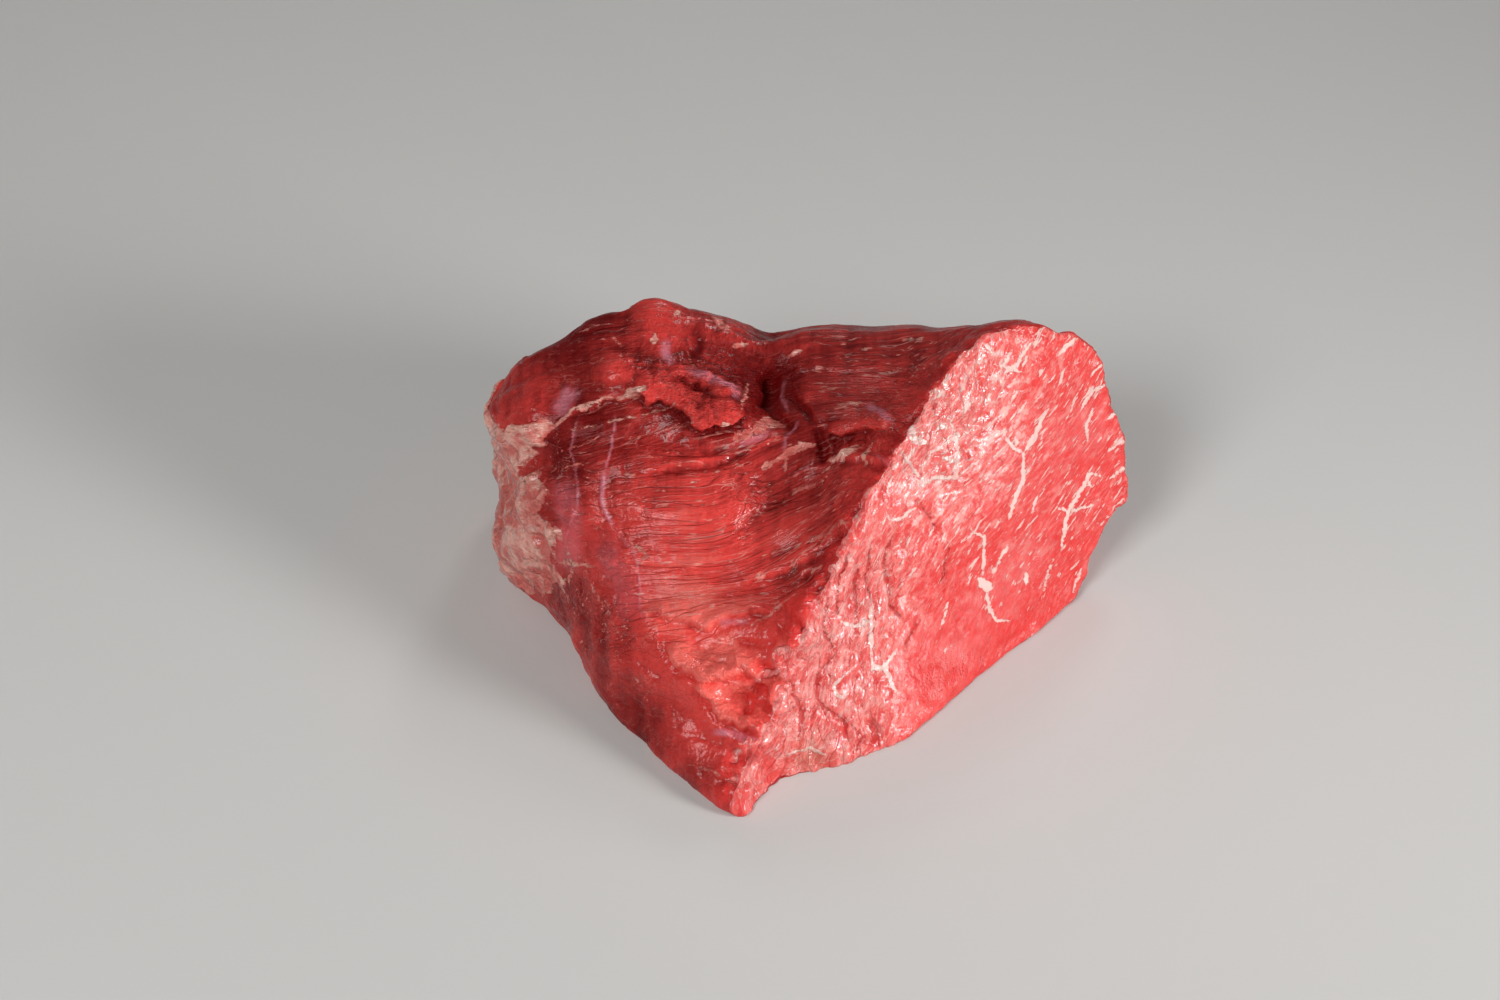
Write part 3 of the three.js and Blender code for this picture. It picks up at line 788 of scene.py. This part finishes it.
class Recipe:
    """Short names for a material's nodes. Each call makes a node or two and returns the output."""

    def __init__(self, material):
        material.use_nodes = True
        self.tree = material.node_tree
        self.tree.nodes.clear()

    def node(self, kind, inputs=(), **settings):
        made = self.tree.nodes.new(kind)
        for name, value in settings.items():
            setattr(made, name, value)
        for key, value in dict(inputs).items():
            socket = made.inputs[key]
            if isinstance(value, bpy.types.NodeSocket):
                self.tree.links.new(value, socket)
            else:
                socket.default_value = value
        return made

    def stored(self, name, part="Fac"):
        return self.node("ShaderNodeAttribute", attribute_name=name).outputs[part]

    def stretched(self, places, stretch):
        return self.node(
            "ShaderNodeVectorMath", {0: places, 1: stretch}, operation="MULTIPLY"
        ).outputs["Vector"]

    def noise(self, places, size, detail=2.0, roughness=0.5, distortion=0.0):
        """Unevenness from 0 to 1, with bumps of that size in millimetres."""
        inputs = {
            "Vector": places,
            "Scale": 1 / (size * MM),
            "Detail": detail,
            "Roughness": roughness,
            "Distortion": distortion,
        }
        return self.node("ShaderNodeTexNoise", inputs).outputs["Fac"]

    def fibrous(self, places, share, size, *detail):
        """Such unevenness, drawn out along X: it changes there at that share of its usual rate."""
        return self.noise(self.stretched(places, (share, 1, 1)), size, *detail)

    def math(self, operation, *values):
        return self.node("ShaderNodeMath", dict(enumerate(values)), operation=operation).outputs["Value"]

    def add(self, a, b):
        return self.math("ADD", a, b)

    def minus(self, a, b):
        return self.math("SUBTRACT", a, b)

    def times(self, a, b):
        return self.math("MULTIPLY", a, b)

    def larger(self, a, b):
        return self.math("MAXIMUM", a, b)

    def between(self, value, low, high, to_low=0.0, to_high=1.0):
        inputs = {
            "Value": value,
            "From Min": low,
            "From Max": high,
            "To Min": to_low,
            "To Max": to_high,
        }
        return self.node("ShaderNodeMapRange", inputs, interpolation_type="SMOOTHSTEP").outputs["Result"]

    def near_half(self, value, width):
        """1 along the lines where a noise is one half, and 0 away from them."""
        away = self.math("ABSOLUTE", self.minus(value, 0.5))
        return self.between(away, 0.0, width, 1.0, 0.0)

    def swing(self, value, reach):
        """From -reach to reach, over the middle of a noise's range."""
        return self.between(value, 0.3, 0.7, -reach, reach)

    def blend(self, share, a, b):
        """A colour from a to b, by the share of b."""
        return self.node("ShaderNodeMix", {0: share, 6: a, 7: b}, data_type="RGBA").outputs[2]

    def mix(self, share, a, b):
        """A number from a to b, by the share of b."""
        return self.node("ShaderNodeMix", {0: share, 2: a, 3: b}).outputs[0]

    def bump(self, height, distance):
        """The surface's direction, where a height of 1 stands that many millimetres out."""
        inputs = {"Height": height, "Distance": distance * MM, "Strength": 1.0}
        return self.node("ShaderNodeBump", inputs).outputs["Normal"]


def grown_finish(r, colours):
    """Colour and height of the grown sides: dark lean with fibres, pale fat lines and flecks that are partly
    painted glints, fat and silverskin. Painted light and shade from the relief and the stored patches set the
    lean's tone.
    """
    grain = r.stored("grain", "Vector")
    relief = r.stored("relief")
    lined = r.stored("lined")
    torn = r.stored("torn")
    fibres = r.fibrous(grain, 0.05, 0.9, 3, 0.6)
    bundles = r.fibrous(grain, 0.08, 5, 2)
    folds = r.noise(r.stretched(grain, (1, 0.2, 0.2)), 3, 2)
    clots = r.noise(grain, 3, 3, 0.65)
    blotches = r.noise(grain, 18, 2)
    gaps = r.near_half(r.fibrous(grain, 0.07, 3.4, 1.5, 0.5, 0.2), 0.03)
    gaps = r.times(gaps, lined)
    # The lean's tone: painted light on the raised fibres, bundles, folds and torn clots, and painted shade in
    # the gaps between the fibres, over the lean's own streaky tone. The stored light adds the painted light
    # and shade of its patches.
    lines = r.add(r.swing(fibres, 0.12), r.swing(bundles, 0.08))
    tone = r.add(r.stored("light"), r.times(lines, lined))
    tone = r.add(tone, r.swing(folds, 0.08))
    tone = r.add(tone, r.swing(blotches, 0.07))
    tone = r.add(tone, r.times(torn, r.swing(clots, 0.2)))
    # painted shade in the hollows and painted light on the raised places, from the relief
    tone = r.add(tone, r.between(relief, -2.2, 2.6, -0.42, 0.36))
    tone = r.minus(tone, r.times(gaps, 0.11))
    colour = r.blend(r.between(tone, 0.0, 1.0), colours.dark_lean, colours.lean)
    colour = r.blend(r.between(tone, 0.9, 1.4), colour, colours.pale_lean)

    # Pale lines and flecks of fat, partly painted glints along the fibres
    streaks = r.near_half(r.fibrous(grain, 0.07, 2.6, 2, 0.55, 0.3), 0.02)
    spread = r.fibrous(grain, 0.4, 5, 2)
    streaks = r.times(streaks, r.between(spread, 0.44, 0.6))
    flecks = r.between(r.fibrous(grain, 0.25, 1.6, 2, 0.6), 0.65, 0.72)
    flecks = r.times(flecks, r.between(lined, 0.2, 0.7))
    pale = r.larger(r.times(streaks, r.between(lined, 0.0, 1.0, 0.2, 0.8)), flecks)
    colour = r.blend(r.times(pale, 0.7), colour, colours.streaks)

    silver_noise = r.noise(r.stretched(grain, (1, 0.5, 0.5)), 4, 3)
    silver = r.times(r.stored("silverskin"), r.between(silver_noise, 0.3, 0.6, 0.5, 1.0))
    colour = r.blend(silver, colour, colours.silverskin)

    fat_edge = r.fibrous(grain, 0.5, 1.3, 3, 0.6)
    fat = r.add(r.stored("fat"), r.between(fat_edge, 0.32, 0.68, -0.6, 0.35))
    fat = r.between(fat, -0.15, 0.4)
    fat_tone = r.fibrous(grain, 0.5, 5, 3, 0.6)
    fat_grain = r.fibrous(grain, 0.4, 1.7, 3, 0.6, 0.4)
    fat_mottle = r.add(r.times(fat_tone, 0.6), r.times(fat_grain, 0.4))
    # The fat is painted pinker and darker in its hollows and creamier on its raised lumps: painted shade and
    # light from the relief.
    fat_light_and_shade = r.between(relief, -0.8, 2.4, 0.1, -0.1)
    fat_colour = r.blend(r.between(r.add(fat_mottle, fat_light_and_shade), 0.4, 0.62), colours.fat, colours.pink_fat)
    colour = r.blend(r.times(fat, 0.93), colour, fat_colour)

    height = r.times(r.add(fibres, r.times(bundles, 0.8)), lined)
    height = r.minus(height, r.times(gaps, 0.3))
    height = r.add(height, r.times(folds, 0.35))
    rough = r.larger(torn, r.between(lined, 0.0, 1.0, 0.4, 0.1))
    height = r.add(height, r.times(clots, r.times(rough, 2.4)))
    shreds = r.fibrous(grain, 0.6, 1.3, 2, 0.6)
    height = r.add(height, r.times(shreds, torn))
    fat_bumps = r.minus(r.times(fat_mottle, 4.0), 2.0)
    height = r.add(height, r.times(fat, fat_bumps))
    pimples = r.times(r.noise(grain, 1.1, 2), 0.3)
    return colour, r.add(height, pimples)


def cut_finish(r, colours):
    """Colour and height of the cut: light lean with marbling, veins and the ends of its fibre bundles, with
    painted shade in its hollows and cracks and painted sheen on its crumb.
    """
    places = r.stored("cut_grain", "Vector")
    upright = r.stored("upright", "Vector")
    crumb = r.stored("crumb")
    marbling = r.stored("marbling")
    grains = r.fibrous(places, 0.35, 1.3, 4, 0.65)
    tone = r.noise(places, 9, 3)
    tone = r.add(r.between(grains, 0.3, 0.7, 0.0, 0.6), r.between(tone, 0.3, 0.7, 0.0, 0.4))
    # painted shade in the cut's hollows and painted light on its raised crumb, from the relief
    tone = r.add(tone, r.between(r.stored("relief"), -0.9, 0.5, -0.3, 0.25))
    colour = r.blend(tone, colours.cut_dark_and_shade, colours.cut_lean)
    # The crumb is painted paler: partly its own pale colour, partly painted sheen where its wet crumbs catch
    # the light.
    clumps = r.fibrous(places, 0.6, 3.4, 3, 0.6, 0.3)
    pale = r.times(crumb, r.between(clumps, 0.38, 0.6, 0.25, 0.95))
    colour = r.blend(pale, colour, colours.pale_crumb_and_sheen)

    wisps = r.near_half(r.fibrous(places, 0.45, 2.6, 3, 0.6, 0.4), 0.045)
    wisps = r.times(wisps, r.between(crumb, 0.1, 0.9, 0.06, 0.4))
    colour = r.blend(wisps, colour, colours.marbling)

    # Fine pale flecks along the bundles: fine marbling, partly painted glints on the fine ridges of the cut.
    fine = r.fibrous(places, 0.22, 0.8, 2, 0.5, 0.2)
    fine = r.times(r.between(fine, 0.54, 0.64), r.between(marbling, 0.0, 1.0, 0.03, 0.17))
    flecks = r.fibrous(places, 0.24, 1.3, 3, 0.6, 0.3)
    spread = r.swing(r.noise(places, 8, 2), -0.035)
    threshold = r.add(r.between(marbling, 0.0, 1.0, 0.7, 0.6), spread)
    flecks = r.between(r.minus(flecks, threshold), -0.01, 0.04)
    clumps = r.times(r.between(clumps, 0.56, 0.64), r.times(crumb, marbling))
    flecks = r.larger(r.larger(r.times(flecks, 0.85), fine), clumps)
    colour = r.blend(flecks, colour, colours.marbling)

    vein_edge = r.noise(places, 1.2, 2)
    veins = r.add(r.stored("veins"), r.swing(vein_edge, 0.25))
    veins = r.between(veins, -0.12, 0.2)
    colour = r.blend(r.times(veins, 0.95), colour, colours.marbling)
    colour = r.blend(r.times(r.stored("browned"), 0.38), colour, colours.browned)

    net = r.near_half(r.fibrous(upright, 0.3, 4.2, 1, 0.5, 0.3), 0.028)
    fine_net = r.near_half(r.fibrous(upright, 0.6, 2.2, 2, 0.5, 0.4), 0.025)
    net = r.larger(net, r.times(fine_net, 0.6))
    net = r.times(net, r.between(crumb, 0.5, 1.0))
    # The cracks and the net of fine cracks are painted darker: their deeper red with painted shade in them.
    cracks = r.add(r.stored("cracks"), r.swing(vein_edge, 0.2))
    cracks = r.larger(r.between(cracks, -0.1, 0.2), r.times(net, 0.6))
    colour = r.blend(r.times(cracks, 0.72), colour, colours.gap)

    pimples = r.times(r.noise(places, 0.9, 3, 0.6), 0.5)
    height = r.times(r.add(grains, pimples), r.between(crumb, 0.1, 0.9, 0.72, 0.66))
    height = r.add(height, r.times(r.add(flecks, veins), 0.2))
    return colour, r.minus(height, r.times(cracks, 0.36))


def meat_finish(colours):
    """The one material of the roast: its grown sides and its cut, moist and a little see-through."""
    material = bpy.data.materials.new("raw_beef")
    r = Recipe(material)
    grown_colour, grown_height = grown_finish(r, colours)
    cut_colour, cut_height = cut_finish(r, colours)
    lip = r.times(r.stored("lip"), r.between(r.stored("fat"), -0.3, 0.3, 0.55, 0.0))
    grown_colour = r.blend(lip, grown_colour, colours.lip)
    cut = r.between(r.stored("cut"), 0.35, 0.65)
    colour = r.blend(cut, grown_colour, cut_colour)
    height = r.mix(cut, grown_height, cut_height)

    wet_fat = r.between(r.stored("fat"), 0.0, 1.5, 0.0, 0.6)
    wet_lean = r.between(r.stored("light"), 0.25, 0.55, 0.08, 0.45)
    wet_grown = r.add(wet_lean, wet_fat)
    wet_cut = r.between(r.stored("crumb"), 0.2, 0.9, 0.2, 1.0)
    wet = r.mix(cut, wet_grown, wet_cut)
    dull = r.noise(r.stored("grain", "Vector"), 7, 3)
    surface = r.node(
        "ShaderNodeBsdfPrincipled",
        {
            "Base Color": colour,
            "Roughness": r.between(dull, 0.3, 0.7, 0.38, 0.52),
            "Normal": r.bump(height, 1.5),
            "Specular IOR Level": 0.1,
            "Subsurface Weight": 0.25,
            "Subsurface Radius": (1.0, 0.25, 0.18),
            "Subsurface Scale": 2.5 * MM,
            "Coat Weight": r.times(wet, r.between(r.stored("relief"), -1.6, -0.5, 0.2, 1.0)),
            "Coat Roughness": 0.15,
            "Coat Normal": r.bump(height, 0.3),
        },
    )
    output = r.node("ShaderNodeOutputMaterial", {"Surface": surface.outputs["BSDF"]})
    output.is_active_output = True
    return material


def soft_light(name, at, towards, side, spread, watts):
    """A square softbox that points at a place, and lights that many degrees."""
    lamp = bpy.data.lights.new(name, "AREA")
    lamp.size = side
    lamp.energy = watts
    lamp.spread = math.radians(spread)
    made = bpy.data.objects.new(name, lamp)
    made.location = at
    made.rotation_euler = (Vector(towards) - Vector(at)).to_track_quat("-Z", "Y").to_euler()
    bpy.context.scene.collection.objects.link(made)


def colour_property(name, description, default):
    """A colour of the panel, from its red, green and blue."""
    return bpy.props.FloatVectorProperty(
        name=name,
        description=description,
        subtype="COLOR",
        size=4,
        min=0,
        max=1,
        default=(*default, 1),
    )


def light_property(name, description, watts):
    """A light's power in the panel."""
    return bpy.props.FloatProperty(
        name=name,
        description=description,
        unit="POWER",
        default=watts,
        min=0,
    )


class RoastShape(bpy.types.PropertyGroup):
    """Sizes of the roast's fine relief."""

    fineness: bpy.props.FloatProperty(
        name="Fineness",
        description="Size of the mesh's squares",
        unit="LENGTH",
        default=0.0007,
        min=0.0005,
    )
    fibre_height: bpy.props.FloatProperty(
        name="Fibres",
        description="Height of the muscle fibres on the grown sides, in millimetres",
        default=0.35,
        min=0,
    )
    tear_height: bpy.props.FloatProperty(
        name="Tears",
        description="Height of the torn sheets and shreds, as a share of the usual",
        default=1,
        min=0,
    )
    crumb_height: bpy.props.FloatProperty(
        name="Crumb",
        description="Height of the cut's crumb, in millimetres",
        default=0.9,
        min=0,
    )
    crack_depth: bpy.props.FloatProperty(
        name="Cracks",
        description="Depth of the cut's cracks, in millimetres",
        default=0.65,
        min=0,
    )


class RoastColours(bpy.types.PropertyGroup):
    """Colours of the roast."""

    # The lean's three colours are reached through a tone that carries painted light and shade: the dark end
    # stands partly for shade, the pale end partly for light.
    lean: colour_property("Lean", "The grown sides where they are light", (0.83, 0.064, 0.054))
    pale_lean: colour_property("Pale lean", "The grown sides where they are lightest", (0.93, 0.155, 0.125))
    dark_lean: colour_property("Dark lean", "The grown sides where they are darkest", (0.18, 0.004, 0.004))
    # pale fat fibres, partly painted glints
    streaks: colour_property("Streaks", "Fine pale fibres on the grown sides", (0.9, 0.38, 0.32))
    silverskin: colour_property("Silverskin", "The thin sheath of the muscle", (0.76, 0.25, 0.315))
    fat: colour_property("Fat", "Cream parts of the fat", (0.95, 0.49, 0.4))
    pink_fat: colour_property("Pink fat", "Pink parts of the fat", (0.74, 0.16, 0.13))
    lip: colour_property("Lip", "The bright lip round the cut", (0.6, 0.022, 0.02))
    cut_lean: colour_property("Cut lean", "Light parts of the cut", (0.85, 0.046, 0.044))
    # the dark end of the cut's tone, partly painted shade in its hollows
    cut_dark_and_shade: colour_property("Cut deep", "Deep parts of the cut", (0.72, 0.024, 0.022))
    # paler crumb of the cut, partly painted sheen
    pale_crumb_and_sheen: colour_property("Cut pale", "Crumbly parts of the cut", (1.0, 0.25, 0.225))
    # the cracks' deeper red with painted shade
    gap: colour_property("Cracks", "The depth of the cut's cracks", (0.62, 0.026, 0.023))
    marbling: colour_property("Marbling", "Fat in the cut", (0.98, 0.66, 0.6))
    browned: colour_property("Browned", "The browned patch at the foot of the cut", (0.45, 0.2, 0.12))


class TableSetup(bpy.types.PropertyGroup):
    """The table, the light and the room."""

    table: colour_property("Table", "The pale table top", (0.7, 0.69, 0.67))
    key: light_property("Key light", "The softbox at the right", 1.45)
    fill: light_property("Fill light", "The softbox in front", 7.3)
    back: light_property("Back light", "The softbox behind", 1.5)
    room: bpy.props.FloatProperty(
        name="Room",
        description="Brightness of the room",
        default=0.1,
        min=0,
    )


class ROAST_OT_meat(bpy.types.Operator):
    """Build the roast around its solid"""

    bl_idname = "roast.meat"
    bl_label = "Make the roast"

    def execute(self, context):
        scene = context.scene
        piece = fine_copy(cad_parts["beef"], scene.roast_shape.fineness)
        carve(piece, scene.roast_shape)
        piece.data.materials.clear()
        piece.data.materials.append(meat_finish(scene.roast_colours))
        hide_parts("beef")
        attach(piece, "root")
        return {"FINISHED"}


class ROAST_OT_table(bpy.types.Operator):
    """Lay the table, light it and place the camera"""

    bl_idname = "roast.table"
    bl_label = "Lay the table"

    def execute(self, context):
        scene = context.scene
        setup = scene.roast_table
        bpy.ops.mesh.primitive_plane_add(size=TABLE_SIDE)
        floor = context.active_object
        floor.name = "table"
        finish = bpy.data.materials.new("table")
        r = Recipe(finish)
        surface = r.node("ShaderNodeBsdfPrincipled", {"Base Color": setup.table, "Roughness": 0.7})
        r.node("ShaderNodeOutputMaterial", {"Surface": surface.outputs["BSDF"]})
        floor.data.materials.append(finish)

        for name, (at, towards, side, spread) in SOFTBOXES.items():
            soft_light(f"{name}_light", at, towards, side, spread, getattr(setup, name))
        scene.world = bpy.data.worlds.new("room")
        scene.world.use_nodes = True
        backdrop = scene.world.node_tree.nodes["Background"]
        backdrop.inputs["Color"].default_value = (1, 1, 1, 1)
        backdrop.inputs["Strength"].default_value = setup.room
        scene.view_settings.view_transform = "Standard"

        lens = bpy.data.cameras.new("camera")
        lens.lens = LENS
        lens.sensor_width = SENSOR
        camera = bpy.data.objects.new("camera", lens)
        camera.location = CAMERA_AT * MM
        camera.rotation_euler = (math.pi / 2 - CAMERA_TILT, 0, 0)
        scene.collection.objects.link(camera)
        scene.camera = camera
        return {"FINISHED"}


class ROAST_PT_panel(bpy.types.Panel):
    """The roast's settings and steps"""

    bl_label = "Raw beef roast"
    bl_space_type = "VIEW_3D"
    bl_region_type = "UI"
    bl_category = "Roast"

    def draw(self, context):
        for group in (context.scene.roast_shape, context.scene.roast_colours, context.scene.roast_table):
            box = self.layout.box()
            for name in group.__annotations__:
                box.prop(group, name)
        self.layout.operator("roast.meat")
        self.layout.operator("roast.table")


CLASSES = (RoastShape, RoastColours, TableSetup, ROAST_OT_meat, ROAST_OT_table, ROAST_PT_panel)


def register():
    for made in CLASSES:
        bpy.utils.register_class(made)
    bpy.types.Scene.roast_shape = bpy.props.PointerProperty(type=RoastShape)
    bpy.types.Scene.roast_colours = bpy.props.PointerProperty(type=RoastColours)
    bpy.types.Scene.roast_table = bpy.props.PointerProperty(type=TableSetup)


def unregister():
    del bpy.types.Scene.roast_table
    del bpy.types.Scene.roast_colours
    del bpy.types.Scene.roast_shape
    for made in reversed(CLASSES):
        bpy.utils.unregister_class(made)


def main():
    """Builds everything."""
    register()
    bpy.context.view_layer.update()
    bpy.ops.roast.meat()
    bpy.ops.roast.table()


if __name__ == "__main__":
    main()
